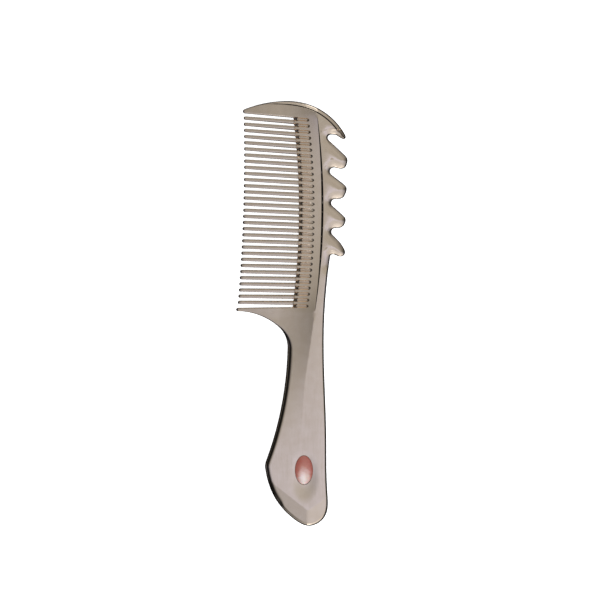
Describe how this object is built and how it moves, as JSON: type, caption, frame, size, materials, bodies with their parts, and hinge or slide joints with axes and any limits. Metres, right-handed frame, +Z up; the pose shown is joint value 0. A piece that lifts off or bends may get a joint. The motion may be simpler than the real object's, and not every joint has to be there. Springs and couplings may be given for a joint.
{
  "type": "grooming comb",
  "caption": "Flat metal grooming comb with fine teeth along one edge, a scalloped scraper edge along the other, and a tapered handle with an oval stone inlay.",
  "frame": {"origin": "on the supporting surface, under the middle of the comb's bounding box as it lies flat with the stone up", "axes": "+Y along the comb from the butt of the handle to the crown of the head; +Z up out of the face with the stone; +X across the comb from the tooth tips to the scraper points"},
  "size_m": [0.0502, 0.19, 0.0054],
  "materials": {
    "casting": "polished nickel-toned plating on a casting",
    "stone": "polished rose-coloured cabochon",
    "adhesive": "cured clear adhesive"
  },
  "bodies": {
    "root": {"comb_body": "casting", "tooth_01": "casting", "tooth_02": "casting", "tooth_03": "casting", "tooth_04": "casting", "tooth_05": "casting", "tooth_06": "casting", "tooth_07": "casting", "tooth_08": "casting", "tooth_09": "casting", "tooth_10": "casting", "tooth_11": "casting", "tooth_12": "casting", "tooth_13": "casting", "tooth_14": "casting", "tooth_15": "casting", "tooth_16": "casting", "tooth_17": "casting", "tooth_18": "casting", "tooth_19": "casting", "tooth_20": "casting", "tooth_21": "casting", "tooth_22": "casting", "tooth_23": "casting", "tooth_24": "casting", "tooth_25": "casting", "tooth_26": "casting", "tooth_27": "casting", "tooth_28": "casting", "tooth_29": "casting", "tooth_30": "casting", "tooth_31": "casting", "stone": "stone", "adhesive": "adhesive"}
  },
  "joints": []
}
